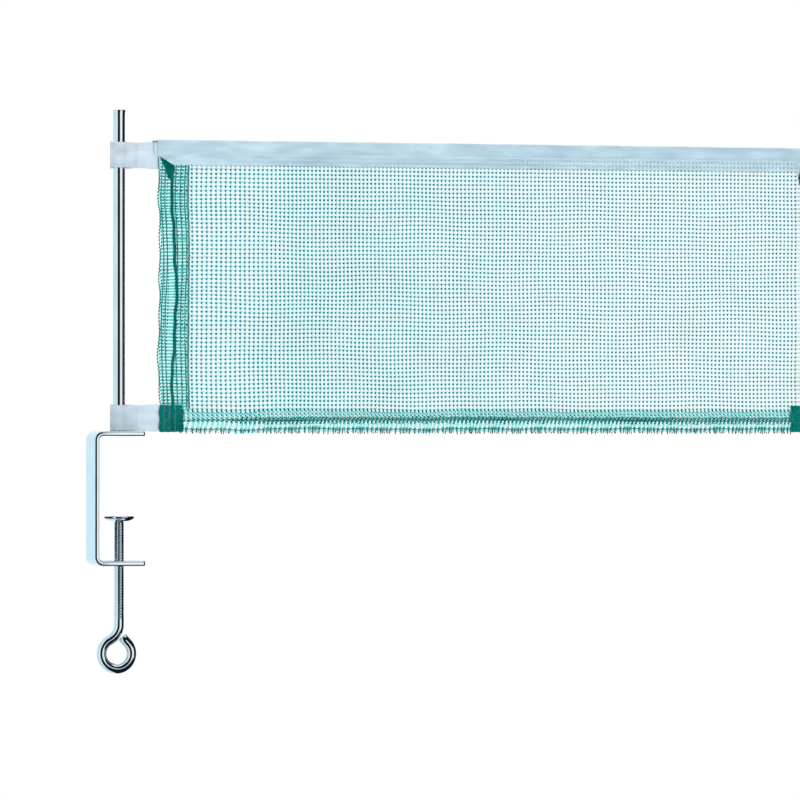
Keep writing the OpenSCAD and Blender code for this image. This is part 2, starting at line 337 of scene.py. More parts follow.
def bar_path():
    """The bar's middle line, as (x, z) and its distance from the nearer end: upper arm, quarter
    bend, leg, quarter bend, lower arm."""
    middle = inside_bend + bar_t / 2
    bend_x = bar_lo[0] + inside_bend + bar_t
    top_z, low_z = bar_hi[2] - bar_t / 2, bar_lo[2] + bar_t / 2
    tip = np.array([0, 0.08, 0.25, 0.55, 1, 1.6, 2.4, 3.2, 4.0]) / 4 * end_corner
    turned = np.linspace(0, math.pi / 2, 13)
    bend = np.stack([-np.sin(turned), np.cos(turned)], -1) * middle
    upper = [(upper_end - d, top_z) for d in tip]
    first = bend + [bend_x, top_z - middle]
    second = bend[::-1] * [1, -1] + [bend_x, low_z + middle]
    lower = [(lower_end - d, low_z) for d in tip[::-1]]
    line = np.concatenate([upper, first, second, lower])
    step = np.linalg.norm(np.diff(line, axis=0), axis=1)
    run = np.concatenate([[0], np.cumsum(step)])
    return line, np.minimum(run, run[-1] - run)


def bracket_grid():
    """The rounded outline of the bar carried along its path. Towards each end the bar narrows by
    its corner's circle, and in the last half millimetre its faces round in."""
    line, from_end = bar_path()
    along = np.gradient(line, axis=0)
    along /= np.linalg.norm(along, axis=1)[:, None]
    path = np.stack([line[:, 0], 0 * line[:, 0], line[:, 1]], -1)
    across = np.stack([along[:, 1], 0 * line[:, 0], -along[:, 0]], -1)
    up = np.broadcast_to([0.0, 1.0, 0.0], path.shape)
    inset = end_corner - np.minimum(from_end, end_corner)
    narrow = 1 - (end_corner - np.sqrt(end_corner**2 - inset**2 + 1e-18)) / bar_half
    edge = 0.6 * mm
    sunk = edge - np.minimum(from_end, edge)
    thin = 1 - (edge - np.sqrt(edge**2 - sunk**2 + 1e-18)) / (bar_t / 2)
    outline = ring(bar_t, 2 * bar_half, edge, flats=12)
    shaped = outline[None] * np.stack([thin, narrow], -1)[:, None]
    return capped(carried(shaped, path, across, up), path)


def zinc():
    """Bright zinc plate: a cool white metal, cloudy where it dried, with the mill's faint grain
    along the bar and small rubbed spots."""
    m = Finish(bpy.data.materials.new("bright_zinc"))
    cloud = m.noise(7 * mm, 4)
    grain = m.noise(0.5 * mm, 2, (1, 14, 1))
    rubbed = m.noise(1.6 * mm, 5).ramp(0.6, 0.75)
    colour = m.mix(cloud.ramp(0.35, 0.7), rgb(226, 240, 247), rgb(240, 248, 252))
    rough = cloud * 0.06 + grain * 0.03 + rubbed * 0.06 + 0.03
    relief = m.bump(grain * 0.6 + rubbed * 0.4, 0.0015 * mm)
    return m.surface(Base_Color=colour, Metallic=1.0, Roughness=rough, Normal=relief)


hole_sides = 64


def drilled(target, holes):
    """Cuts round holes, given as (x, y, stations) with stations of (z, radius), out of a piece."""
    for x, y, stations in holes:
        round_hole = np.arange(hole_sides)
        angle = np.linspace(0, 2 * math.pi, hole_sides, endpoint=False)
        circle = np.stack([np.cos(angle), np.sin(angle)], -1)
        rows = [np.column_stack([circle * r + [x, y], np.full(hole_sides, z)]) for z, r in stations]
        ends = [round_hole[::-1].tolist(), (round_hole + hole_sides * (len(rows) - 1)).tolist()]
        ring_starts = hole_sides * np.arange(len(rows) - 1)[:, None]
        low = ring_starts + round_hole
        high = ring_starts + (round_hole + 1) % hole_sides
        walls = np.stack([low, high, high + hole_sides, low + hole_sides], -1).reshape(-1, 4)
        mesh = bpy.data.meshes.new("drill")
        mesh.from_pydata(np.concatenate(rows).tolist(), [], ends + walls.tolist())
        drill = bpy.data.objects.new("drill", mesh)
        scene.collection.objects.link(drill)
        cut = target.modifiers.new("hole", "BOOLEAN")
        cut.operation, cut.solver, cut.object = "DIFFERENCE", "EXACT", drill
        seen = target.evaluated_get(bpy.context.evaluated_depsgraph_get())
        done = bpy.data.meshes.new_from_object(seen)
        target.modifiers.clear()
        target.data = done
        bpy.data.objects.remove(drill)


spigot_r = 2.0 * mm
sink_r = spigot_r + bar_t / 2
screw_hole_r = 2.55 * mm
past = 1.0 * mm
bracket = piece("bracket_bar", bracket_grid(), "frame", zinc(), ["bracket"])
spigot_hole = [(-past, sink_r), (0.0, sink_r), (bar_t / 2, spigot_r), (bar_t + past, spigot_r)]
screw_hole = [(bar_lo[2] - past, screw_hole_r), (bar_lo[2] + bar_t + past, screw_hole_r)]
drilled(bracket, [(0.0, 0.0, spigot_hole), (0.0, 0.0, screw_hole)])

# The post: a length of bright drawn rod. Its foot is turned down and riveted over in the upper
# arm, and its cropped top has swollen a little under the shear.


def turned(stations, segments=72):
    """A shape turned in a lathe: the profile's stations (radius, height) carried round the Z axis."""
    angle = np.linspace(0, 2 * math.pi, segments, endpoint=False)
    stations = np.array(stations)
    x = stations[:, None, 0] * np.cos(angle)
    y = stations[:, None, 0] * np.sin(angle)
    return np.stack([x, y, np.broadcast_to(stations[:, 1:], x.shape)], -1)


def rounded(stations, radius, steps=4):
    """The same profile with each inner corner replaced by steps points on a curve of about the radius."""
    stations = [np.array(s, float) for s in stations]
    out = [stations[0]]
    for before, corner, after in zip(stations, stations[1:], stations[2:]):
        to_before, to_after = before - corner, after - corner
        near = min(radius, 0.45 * np.linalg.norm(to_before), 0.45 * np.linalg.norm(to_after))
        a = corner + to_before / np.linalg.norm(to_before) * near
        b = corner + to_after / np.linalg.norm(to_after) * near
        for t in np.linspace(0, 1, steps + 1):
            out.append((1 - t) ** 2 * a + 2 * t * (1 - t) * corner + t**2 * b)
    return out + [stations[-1]]


post_r = 3.0 * mm
post_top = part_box("post")[1].z
crown_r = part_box("post")[1].x
crown_h = 3.0 * mm


def bright_rod():
    """Nickel plate on drawn rod: a dark mirror, with faint draw lines along it and a few cloudy
    patches where it has been handled."""
    m = Finish(bpy.data.materials.new("bright_rod"))
    lines = m.noise(0.5 * mm, 2, (1, 1, 60))
    cloud = m.noise(9 * mm, 4, (1, 1, 3))
    colour = m.mix(cloud.ramp(0.4, 0.75), rgb(226, 233, 238), rgb(242, 246, 249))
    rough = cloud * 0.06 + lines * 0.03 + 0.02
    relief = m.bump(lines, 0.0008 * mm)
    return m.surface(Base_Color=colour, Metallic=1.0, Roughness=rough, Normal=relief)


nickel = bright_rod()
post_profile = [(0, 0), (sink_r, 0), (spigot_r, bar_t / 2), (spigot_r, bar_t), (post_r, bar_t)]
post_profile += [(post_r, post_top - z) for z in (150 * mm, 100 * mm, 50 * mm)]
swell = np.linspace(0, 1, 9)
crown_drop = (crown_h + 0.4 * mm) * (1 - swell)
swollen = np.column_stack([post_r + (crown_r - post_r) * swell**2, post_top - crown_drop])
post_profile += [tuple(point) for point in swollen] + [(0, post_top)]
piece("post_rod", turned(rounded(post_profile, 0.25 * mm)), "frame", nickel, ["post"])

# The eye screw: one piece of 5 mm wire with a rolled M5 thread. Its foot is bent into an eye that
# closes against the neck, and its turned tip is riveted over inside the pad.
screw_lo, screw_hi = (np.array(c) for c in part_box("eye_screw"))
wire_r = 2.5 * mm
pitch = 0.8 * mm
thread_depth = 0.3 * mm
neck_bend = 9.0 * mm
eye_bend = 7.8 * mm
eye_off = 1.3 * mm
eye_end = math.radians(42)
eye_tail = 4.39 * mm
eye_z = screw_lo[2] + wire_r + eye_bend
neck_z = eye_z + math.sqrt((neck_bend + eye_bend) ** 2 - (neck_bend - eye_off) ** 2)
neck_turn = math.acos((neck_bend - eye_off) / (neck_bend + eye_bend))
shoulder_z = neck_z + 53.0 * mm
thread_foot = neck_z + 2.5 * mm


def wire_line():
    """The wire's middle line from the shoulder down: straight shank, neck bend, the eye's arc and
    the straight end. Gives (x, z) points, the wire's radius there, and where it is threaded."""
    shank = np.arange(shoulder_z, thread_foot - 2 * mm, -pitch / 10)
    shank = np.stack([0 * shank, shank], -1)
    neck = np.linspace(0, -neck_turn, 14)[1:]
    neck = np.stack([neck_bend * (np.cos(neck) - 1), neck_z + neck_bend * np.sin(neck)], -1)
    eye = np.linspace(math.pi - neck_turn, 2 * math.pi + eye_end, 64)[1:]
    eye = np.stack([eye_bend * np.cos(eye) - eye_off, eye_z + eye_bend * np.sin(eye)], -1)
    onward = np.array([-math.sin(eye_end), math.cos(eye_end)])
    chamfer = 0.35 * mm
    tail = eye[-1] + onward * np.array([0.4 * eye_tail, eye_tail - chamfer, eye_tail])[:, None]
    line = np.concatenate([shank, neck, eye, tail])
    radius = np.full(len(line), wire_r)
    radius[-1] -= chamfer
    return line, radius


def screw_grid():
    """A circle carried along the wire's middle line. On the shank its radius dips with the thread:
    the depth times a rounded ridge of height over pitch less the turn, which makes a helix."""
    line, radius = wire_line()
    along = np.gradient(line, axis=0)
    along /= np.linalg.norm(along, axis=1)[:, None]
    path = np.stack([line[:, 0], 0 * line[:, 0], line[:, 1]], -1)
    across = np.stack([-along[:, 1], 0 * line[:, 0], along[:, 0]], -1)
    up = np.broadcast_to([0.0, 1.0, 0.0], path.shape)
    angle = np.linspace(0, 2 * math.pi, 40, endpoint=False)
    turns = path[:, 2:] / pitch - angle / (2 * math.pi)
    ridge = np.abs((turns % 1) * 2 - 1)
    crest = np.clip(ridge * 3.0 - 0.2, 0, 1)
    run_out = np.clip((path[:, 2:] - thread_foot) / (2 * mm), 0, 1)
    lead_in = np.clip((shoulder_z - path[:, 2:]) / (0.6 * mm), 0, 1)
    threaded = run_out * (path[:, 2:] > thread_foot)
    r = radius[:, None] - thread_depth * (1 - crest * lead_in) * threaded
    circle = np.stack([r * np.cos(angle), r * np.sin(angle)], -1)
    grid = carried(circle, path, across, up)
    tip_r, head_r, head_t = 1.9 * mm, 3.2 * mm, 0.7 * mm
    head_z = screw_hi[2] - head_t
    top = [(0, head_z + head_t), (0.6 * head_r, head_z + head_t), (head_r, head_z + 0.5 * head_t)]
    top += [(head_r, head_z), (tip_r, head_z), (tip_r, shoulder_z)]
    around = np.cos(angle)[:, None] * across[0] + np.sin(angle)[:, None] * up[0]
    tip = [around * r + [0, 0, z] for r, z in top]
    cap = np.broadcast_to(path[-1], grid[0].shape)
    return np.concatenate([np.array(tip), grid, cap[None]])


piece("eye_screw_wire", screw_grid(), "screw", nickel, ["eye_screw"])

# The pad: a disc pressed from sheet into a shallow dish. It swivels on the screw's tip and takes
# the thrust on its flat rim, so that the table isn't marked.
pad_lo, pad_hi = (np.array(c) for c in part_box("pressure_pad"))
pad_r = pad_hi[0]
pad_floor = pad_hi[2] - 1.3 * mm
pad_profile = [(1.95 * mm, pad_floor), (1.95 * mm, pad_lo[2]), (4.6 * mm, pad_lo[2])]
pad_profile += [(6.2 * mm, pad_lo[2] + 0.55 * mm), (pad_r, pad_hi[2] - 1.0 * mm), (pad_r, pad_hi[2])]
pad_profile += [(pad_r - 1.2 * mm, pad_hi[2]), (4.2 * mm, pad_floor), (1.95 * mm, pad_floor)]
pad_line = [pad_profile[0], *rounded(pad_profile, 0.5 * mm)[1:-1]]
piece("pad_dish", turned(pad_line), "pad", nickel, ["pressure_pad"], loop_u=True)

# The net: soft cotton yarn, dyed green, knotted square. It is drawn a little closer together
# towards the middle, and hangs in faint ripples from the band and the two end cords.


def strands(name, sets, radius, body, finish, replaces=(), sides=3, depth=1.0):
    """Many yarns at once, in one or more sets of equal ones: each row of a set is a middle line, and
    a ring of the given number of sides is carried along it, shrunk to a point at both ends. The
    radius is one for all sets, or a list of one for each, and so is the finish. The depth is the
    share of its radius that a flattened yarn keeps from front to back."""
    every_point, every_face, made = [], [], 0
    radii = radius if isinstance(radius, list) else [radius] * len(sets)
    for paths, yarn_radius in zip(sets, radii):
        paths = np.concatenate([paths[:, :1], paths, paths[:, -1:]], 1)
        thick = np.broadcast_to(yarn_radius, paths.shape[:2]).copy()
        thick[:, 0] = thick[:, -1] = 0
        along = np.gradient(paths, axis=1)
        along /= np.linalg.norm(along, axis=2, keepdims=True) + 1e-12
        up = np.cross(along, np.cross([0.0, 1.0, 0.0], along))
        up /= np.linalg.norm(up, axis=2, keepdims=True) + 1e-12
        across = np.cross(along, up)
        angle = np.arange(sides) * 2 * math.pi / sides
        circle = np.cos(angle)[:, None] * across[:, :, None] + depth * np.sin(angle)[:, None] * up[:, :, None]
        points = paths[:, :, None] + thick[:, :, None, None] * circle
        count, rows = points.shape[:2]
        start = made + (np.arange(count)[:, None] * rows + np.arange(rows - 1)) * sides
        low = np.arange(sides)
        high = (low + 1) % sides
        here = start[..., None]
        quads = np.stack([here + low, here + high, here + sides + high, here + sides + low], -1)
        every_point.append(points.reshape(-1, 3))
        every_face.append(quads)
        made += count * rows * sides
    coats = range(len(sets)) if isinstance(finish, list) else [0] * len(sets)
    painted = np.repeat(coats, [faces.shape[0] * faces.shape[1] * sides for faces in every_face])
    points = np.concatenate(every_point)
    faces = np.concatenate([each.reshape(-1, 4) for each in every_face])
    return faceted(name, points, faces, body, finish, replaces, painted=painted)


def knots(name, centres, size, body, finish):
    """A small knot at each centre: two six-sided points back to back, as deep as it is wide."""
    angle = np.arange(6) * math.pi / 3
    rim = np.stack([np.cos(angle), 0 * angle, np.sin(angle)], -1)
    lump = np.concatenate([rim, [(0, -1.0, 0), (0, 1.0, 0)]])
    centres = centres.reshape(-1, 3)
    points = centres[:, None] + lump * size / 2
    i = np.arange(6)
    j = (i + 1) % 6
    sides = np.concatenate([np.stack([i, j, 0 * i + 6], -1), np.stack([j, i, 0 * i + 7], -1)])
    faces = np.arange(len(centres))[:, None, None] * 8 + sides
    return faceted(name, points.reshape(-1, 3), faces.reshape(-1, 3), body, finish)


def settled(x, z):
    """How far the net has moved from a flat square grid at (x, z): slow waves across and along, and
    two places by the left end where the yarns have crowded together. Gives (x, y, z) shifts."""
    left = np.exp(-np.maximum(x - 0.02, 0) / 0.03)
    wave = np.sin(x * 61 + 2.1 * np.sin(z * 47)) + 0.6 * np.sin(x * 137 + z * 90 + 1)
    across = 0.16 * np.sin(z * 120 + 1.3 * np.sin(x * 40)) + 0.5 * left * np.sin(z * 84 + 0.6)
    pulled = sum(-0.9 * np.tanh((z - c) / 0.006) * np.exp(-(((z - c) / 0.016) ** 2)) for c in (0.118, 0.074))
    down = 0.24 * wave + pulled * left * 1.5
    deep = 0.2 * np.sin(x * 83 + z * 55) * np.sin(z * 31 + x * 18)
    held = np.clip((0.138 - z) / 0.02, 0, 1)
    return np.stack([across * held * mm, deep * mm + 0 * z, down * held * mm], -1)


def square_net(columns, rows, deep=0.0):
    """The crossing points of the yarns at the given columns and rows, settled, as an array of
    (row, column, xyz)."""
    z, x = np.meshgrid(rows, columns, indexing="ij")
    return np.stack([x, 0 * x + deep, z], -1) + settled(x, z)


def yarn(name, pale, dark, size=1.2 * mm, paler_towards_far_end=0.0):
    """Dyed cotton yarn: matt and slightly fuzzy, its shade coming and going along the yarn. A yarn
    given a share for the far end turns paler towards the net's far end, by that share."""
    m = Finish(bpy.data.materials.new(name))
    dye = m.noise(size, 3)
    patch = m.noise(22 * mm, 2)
    colour = m.mix((dye * 0.6 + patch * 0.4).ramp(0.35, 0.65), pale, dark)
    # Paler towards the far end: from 70 to 300 mm along X the colour is mixed towards a pale green.
    if paler_towards_far_end:
        colour = m.mix(m.axis("X").ramp(70 * mm, 300 * mm) * paler_towards_far_end, colour, rgb(220, 250, 250))
    twist = m.noise(0.12 * mm, 2)
    relief = m.bump(twist, 0.02 * mm)
    return m.surface(Base_Color=colour, Roughness=0.95 - dye * 0.1, Specular_IOR_Level=0.1, Normal=relief)


net_lo, net_hi = (np.array(c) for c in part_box("net_mesh"))
row_pitch = 2.17 * mm
column_pitch, wide_pitch = 2.1 * mm, 2.55 * mm
yarn_r = 0.57 * mm
yarn_depth = 0.35
knot_size = 1.3 * mm


def panel_columns():
    """Where the upright yarns stand: wide apart by the left end and closer from there on."""
    at = [net_lo[0] + 2.0 * mm, net_lo[0] + 4.5 * mm, net_lo[0] + 7.2 * mm]
    while at[-1] < net_hi[0] - 3 * mm:
        eased = min(max((at[-1] - 56 * mm) / (36 * mm), 0), 1)
        at.append(at[-1] + wide_pitch + (column_pitch - wide_pitch) * eased)
    return np.array(at)


panel_x = panel_columns()
panel_z = np.arange(net_hi[2] - 0.4 * mm, net_lo[2], -row_pitch)
panel = square_net(panel_x, panel_z)
side_strip = square_net(np.concatenate([[net_lo[0]], panel_x, [net_hi[0]]]), panel_z)
pale_yarn = yarn("pale_green_yarn", rgb(188, 242, 246), rgb(164, 230, 236), paler_towards_far_end=0.75)
dark_yarn = yarn("green_knots", rgb(42, 98, 108), rgb(18, 76, 86))
yarn_lines = [side_strip, panel.transpose(1, 0, 2)]
yarns = strands("net_yarns", yarn_lines, yarn_r, "net", pale_yarn, ["net_mesh"], depth=yarn_depth)
tied = knots("net_knots", panel, knot_size, "net", dark_yarn)

# The end hems: the net is folded back on itself round an end cord and whipped down. Two layers of
# yarn lie there, crowded and a little loose, and the fold stands out in small loops.
band_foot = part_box("top_band")[0].z + 0.8 * mm
deep_yarn = yarn("deep_green_yarn", rgb(0, 138, 128), rgb(0, 104, 98))
edge_yarn = yarn("mid_green_yarn", rgb(192, 255, 252), rgb(146, 250, 246))


def hem_net(edge_x, inner_x, rows, side):
    """One layer of hem: seven upright yarns from the fold at edge_x to inner_x, on the side given."""
    share = np.array([0.05, 0.15, 0.27, 0.6, 0.76, 0.9, 0.99]) + 0.03 * side
    columns = edge_x + (inner_x - edge_x) * np.clip(share, 0, 1)
    net = square_net(columns, rows + 0.4 * side * mm, 0.62 * side * mm)
    loose = np.sin(rows * 310 + 2 * side) + 0.7 * np.sin(rows * 127)
    net[:, 0, 0] += 0.35 * loose * mm * np.sign(inner_x - edge_x)
    net[:, 1:-1, 0] += 0.35 * mm * np.sin(rows * 96 + side)[:, None]
    from_fold = np.abs(net[:, :, 0] - edge_x)
    under_band = band_foot + 4.4 * mm * np.clip(1 - from_fold / (8 * mm), 0, 1) + 0.4 * mm
    net[:, :, 2] = np.minimum(net[:, :, 2], under_band)
    net[:, :, 1] += 0.33 * side * mm * np.clip((net[:, :, 2] - 135 * mm) / (3 * mm), 0, 1)
    return net


def cord_line(start, end, count, sway):
    """A cord's middle line from start to end, swaying to one side in slow uneven waves."""
    t = np.linspace(0, 1, count)[:, None]
    s = t[:, 0]
    ripple = 0.12 * np.sin(9 * math.pi * s + 1) + 0.07 * np.sin(21 * math.pi * s)
    bow = np.exp(-(((s - 0.47) / 0.22) ** 2)) + ripple
    held = np.minimum(1, 8 * np.minimum(s, 1 - s))
    return np.array(start) * (1 - t) + np.array(end) * t + (bow * held)[:, None] * np.array(sway)


def laid_cord(name, line, radius, body, finish, node, lay=2.4 * mm):
    """A laid cord of three strands: the outline bulges three times round, and turns once in every
    lay of the cord's length."""
    along = np.gradient(line, axis=0)
    run = np.concatenate([[0], np.cumsum(np.linalg.norm(np.diff(line, axis=0), axis=1))])
    along /= np.linalg.norm(along, axis=1)[:, None]
    up = np.broadcast_to([0.0, 1.0, 0.0], line.shape)
    across = np.cross(up, along)
    across /= np.linalg.norm(across, axis=1)[:, None]
    angle = np.linspace(0, 2 * math.pi, 12, endpoint=False)
    r = radius * (0.9 + 0.1 * np.cos(3 * (angle - 2 * math.pi * run[:, None] / lay)))
    circle = np.stack([r * np.cos(angle), r * np.sin(angle)], -1)
    grid = capped(carried(circle, line, across, np.cross(along, across)), line)
    return piece(name, grid, body, finish, [node])


hem_r, hem_upright_r, hem_depth = 0.5 * mm, 0.22 * mm, 0.4
edge_loops = 0.5 * mm
left_spread, right_inset = 3.8 * mm, 5.5 * mm
cord_overrun = 13 * mm
cord_green = yarn("cord_green", rgb(0, 104, 100), rgb(0, 82, 80), 0.8 * mm)
for end in ("left", "right"):
    lo, hi = (np.array(c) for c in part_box(end + "_hem"))
    if end == "left":
        edge_x, inner_x = lo[0] + edge_loops, hi[0] + left_spread
    else:
        edge_x, inner_x = hi[0] - edge_loops, lo[0] + right_inset
    hem_rows = np.arange(hi[2] + 5.4 * mm, lo[2] - 2.0 * mm, -row_pitch * 0.78)
    front = hem_net(edge_x, inner_x, hem_rows, -1)
    rear = hem_net(edge_x, inner_x, hem_rows, 1)
    folded = np.concatenate([front[:, ::-1], rear], 1)
    fine = np.concatenate([front + [0, -0.3 * mm, 0], rear + [0, 0.3 * mm, 0]], 1).transpose(1, 0, 2)
    yarn_sets, radii, dyes = [folded, fine], [hem_r, hem_upright_r], [edge_yarn, deep_yarn]
    stands_for = [end + "_hem"]
    name = end + "_hem_yarns"
    hem_yarns = strands(name, yarn_sets, radii, "net", dyes, stands_for, depth=hem_depth)
    dots = np.concatenate([front, rear])
    hem_knots = knots(end + "_hem_knots", dots, 0.95 * mm, "net", deep_yarn)
    hem_w, hem_h = abs(inner_x - edge_x), hi[2] - lo[2]
    flat = (2 * hem_w, hem_h)
    cord_lo, cord_hi = (np.array(c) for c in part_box(end + "_hem_cord"))
    x, y = (cord_lo[:2] + cord_hi[:2]) / 2
    fan = np.linspace(0.0, 1.0, 11)[:, None]
    t = np.linspace(0, 1, 8)
    inward = np.sign(inner_x - edge_x)
    from_fold = (5.6 + 1.6 * fan) * (1 - t) ** 0.8 + (0.4 + 7.4 * fan) * t
    fan_x = edge_x + inward * from_fold * mm
    fan_z = 132.5 * mm * (1 - t) + (band_foot + 4.4 * mm * (1 - fan) + 0.3 * mm) * t
    gather = np.stack([fan_x, 0 * fan_x - 1.0 * mm, fan_z], -1)
    both = np.concatenate([gather, gather * [1, -1, 1]])
    strands(end + "_hem_head_gather", [both], 0.36 * mm, "net", cord_green)
    sway = 2.4 * mm
    y = y - 0.75 * mm
    line = cord_line((x, y, cord_hi[2]), (x, y, cord_lo[2] - cord_overrun), 760, (sway, 0, 0))
    laid_cord(end + "_hem_end_cord", line, 0.85 * mm, "net", cord_green, end + "_hem_cord")

# The foot hem: the lowest rows of the net are turned up and whipped round the foot cord, so that
# the yarns crowd and slant there. Below it the cut ends stand out as a short fringe.
foot_lo, foot_hi = (np.array(c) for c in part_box("bottom_hem"))
foot_columns = panel_x[(panel_x > foot_lo[0] - 1 * mm) & (panel_x < foot_hi[0] + 1 * mm)]


def foot_layer(side):
    """One layer of the foot hem: its rows sag and rise together, and the rear layer's uprights
    stand half a pitch to the right."""
    rows = np.array([12.9, 11.2, 9.4, 8.0, 5.4, 3.6, 2.4]) * mm
    net = square_net(foot_columns + 0.25 * (1 + side) * column_pitch, rows, 0.55 * side * mm)
    bob = 0.3 * np.sin(foot_columns * 71 + 1) + 0.2 * np.sin(foot_columns * 260)
    net[:, :, 2] += np.clip(bob, -0.35, 0.35) * mm
    lean = 0.5 + 0.5 * np.sin(foot_columns * 33 + 0.5)
    net[4:, :, 0] += (0.5 * np.sin(foot_columns * 520) - 1.1 * lean) * mm
    return net


def fringe(layer, low_z):
    """The cut ends below the last row: each goes on down from its upright, leaning its own way."""
    top = layer[-2] + [0, 0, 0.9 * mm]
    lean = 0.45 * np.sin(top[:, 0] * 1700) + 0.2 * np.sin(top[:, 0] * 640)
    length = 1 + 0.12 * np.sin(top[:, 0] * 2300)
    down = np.linspace(0, 1, 4)[:, None] * length
    x, y, z = top[:, 0], top[:, 1], top[:, 2]
    ends = np.stack([x + lean * down * mm, y + 0 * down, z + (low_z - z) * down], -1)
    return ends.transpose(1, 0, 2)


front, rear = foot_layer(-1), foot_layer(1)
foot_r = 0.44 * mm
foot_lines = [np.concatenate([front, rear]), front.transpose(1, 0, 2), rear.transpose(1, 0, 2)]
name, stands_for = "foot_hem_yarns", ["bottom_hem"]
level = strands(name, foot_lines, foot_r, "net", edge_yarn, stands_for, depth=hem_depth)
ends = [fringe(front, foot_lo[2] + 0.3 * mm) + [0, -0.35 * mm, 0], fringe(rear, foot_lo[2] + 0.6 * mm)]
up = strands("foot_hem_fringe", ends, 0.32 * mm, "net", dark_yarn)
edge_rows = [front[5:6] + [0, -0.35 * mm, 0], rear[5:6]]
edge_line = strands("foot_hem_edge_yarns", edge_rows, 0.24 * mm, "net", deep_yarn)
foot_dots = np.concatenate([front[:4], rear[:3]])
foot_knots = knots("foot_hem_knots", foot_dots, 1.1 * mm, "net", dark_yarn)
flat = (foot_hi[0] - foot_lo[0], 2 * (foot_hi[2] - foot_lo[2]))

cord_lo, cord_hi = (np.array(c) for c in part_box("foot_cord"))
cord_y, cord_z = (cord_lo[1] + cord_hi[1]) / 2, (cord_lo[2] + cord_hi[2]) / 2
foot_line = cord_line((cord_lo[0], cord_y, cord_z), (cord_hi[0], cord_y, cord_z), 1500, (0, 0, 0.45 * mm))
laid_cord("foot_hem_cord", foot_line, 0.62 * mm, "net", cord_green, "foot_cord")
strokes = foot_columns[:, None]
t = np.linspace(0, 1, 5)
stroke_h = 1.9 * mm * np.clip((strokes - 50 * mm) / (14 * mm), 0.2, 1) * (0.9 + 0.15 * np.sin(strokes * 900))
stroke_x = strokes + (1.2 - 1.5 * t) * mm + 0 * strokes
stroke_z = np.interp(strokes, foot_line[:, 0], foot_line[:, 2]) + stroke_h * (1 - 2 * t)
bulge = (0.75 + 0.55 * np.sin(t * math.pi)) * mm
gathers = []
for side in (-1, 1):
    gathers.append(np.stack([stroke_x + 0.5 * (1 + side) * mm, side * bulge + 0 * stroke_x, stroke_z], -1))
strands("foot_hem_gathers", [np.concatenate(gathers)], 0.4 * mm, "net", deep_yarn)

# The corners: where an end hem and the foot hem cross, four layers of net are stitched into one
# thick block, ragged along its lower edge.
for end in ("left", "right"):
    lo, hi = (np.array(c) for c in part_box(end + "_corner"))
    columns = np.linspace(lo[0] + 1.2 * mm, hi[0] + 0.2 * mm, 13)
    if end == "right":
        columns = lo[0] + hi[0] - columns[::-1]
    rows = np.linspace(lo[2] + 1.2 * mm, hi[2] - 0.2 * mm, 14)
    layers = []
    for deep, slip in ((-0.95, 0.0), (-0.32, 0.5), (0.32, 0.2), (0.95, 0.7)):
        z, x = np.meshgrid(rows, columns, indexing="ij")
        crowded = 0.3 * np.sin(z * 900 + x * 300) + 0.25 * np.sin(x * 2100 + slip * 9)
        x = x + ((slip - 0.35) * 0.6 + crowded) * mm
        near_foot = np.clip(1 - (z - lo[2]) / (3 * mm), 0, 1)
        ragged = 0.9 * mm * near_foot * (0.5 + 0.5 * np.sin(x * 1900 + slip * 9))
        layers.append(np.stack([x, deep * mm + 0 * x, z + ragged], -1))
    corner_r = 0.4 * mm
    level_rows = np.concatenate(layers)
    upright_rows = np.concatenate(layers, 1).transpose(1, 0, 2)
    name, stands_for = end + "_corner_level_yarns", [end + "_corner"]
    level = strands(name, [level_rows], corner_r, "net", deep_yarn, stands_for)
    up = strands(end + "_corner_upright_yarns", [upright_rows], 0.44 * mm, "net", deep_yarn)
    dots = knots(end + "_corner_knots", layers[0], 0.8 * mm, "net", deep_yarn)
    flat = (2 * (hi[0] - lo[0]), 2 * (hi[2] - lo[2]))

# The band: white cotton tape folded over the top edge of the net and the head cord, and sewn
# through near its lower edge. Its lower corners are turned in on the slant.
band_lo, band_hi = (np.array(c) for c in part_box("top_band"))
cloth_t = 0.34 * mm
slant_w, slant_h = 8.0 * mm, 4.4 * mm


def band_grid():
    """The tape's outline carried along the band: up the front, round the top and down the rear. Its
    lower edge climbs at both ends, its top rides over the cord, and a long crease runs across it."""
    x = np.linspace(band_lo[0], band_hi[0], 700)
    fold_r = (band_hi[1] - band_lo[1]) / 2 - cloth_t / 2
    top_z = band_hi[2] - fold_r - cloth_t / 2
    from_end = np.minimum(x - x[0], x[-1] - x)
    foot = band_lo[2] + 0.8 * mm + slant_h * np.clip(1 - from_end / slant_w, 0, 1)
    foot = foot + (0.12 * np.sin(x * 90) + 0.1 * np.sin(x * 233) + 0.12) * mm
    rise = np.linspace(0, 1, 26)
    arc = np.linspace(0, math.pi, 11)[1:-1]
    z_side = foot[:, None] + (top_z - foot)[:, None] * rise
    seam = np.exp(-(((z_side - band_lo[2] - 2.6 * mm) / (0.5 * mm)) ** 2))
    puckered = 0.5 + 0.5 * np.sin(x * 2 * math.pi / (2.6 * mm))[:, None]
    wave = 0.12 * np.sin(x[:, None] * 76 + z_side * 140) + 0.07 * np.sin(x[:, None] * 310 - z_side * 420)
    off_crease = z_side - (142.0 * mm + 0.27 * (x[:, None] - 25 * mm))
    crease = np.exp(-((off_crease / (0.8 * mm)) ** 2)) * np.exp(-(((x[:, None] - 33 * mm) / (14 * mm)) ** 2))
    pinch = (0.3 * seam * (0.5 + 0.5 * puckered) + 0.5 * crease - wave * np.sin(rise * math.pi)) * mm
    out = fold_r - pinch.clip(-0.02 * mm)
    top_y = -np.cos(arc) * fold_r
    top = top_z + np.sin(arc) * fold_r + (0.05 * np.sin(x * 150) * mm)[:, None] - 0.05 * mm
    y = np.concatenate([-out, np.broadcast_to(top_y, top.shape), out[:, ::-1]], 1)
    z = np.concatenate([z_side, top, z_side[:, ::-1]], 1)
    return np.stack([np.broadcast_to(x[:, None], y.shape), y, z], -1)


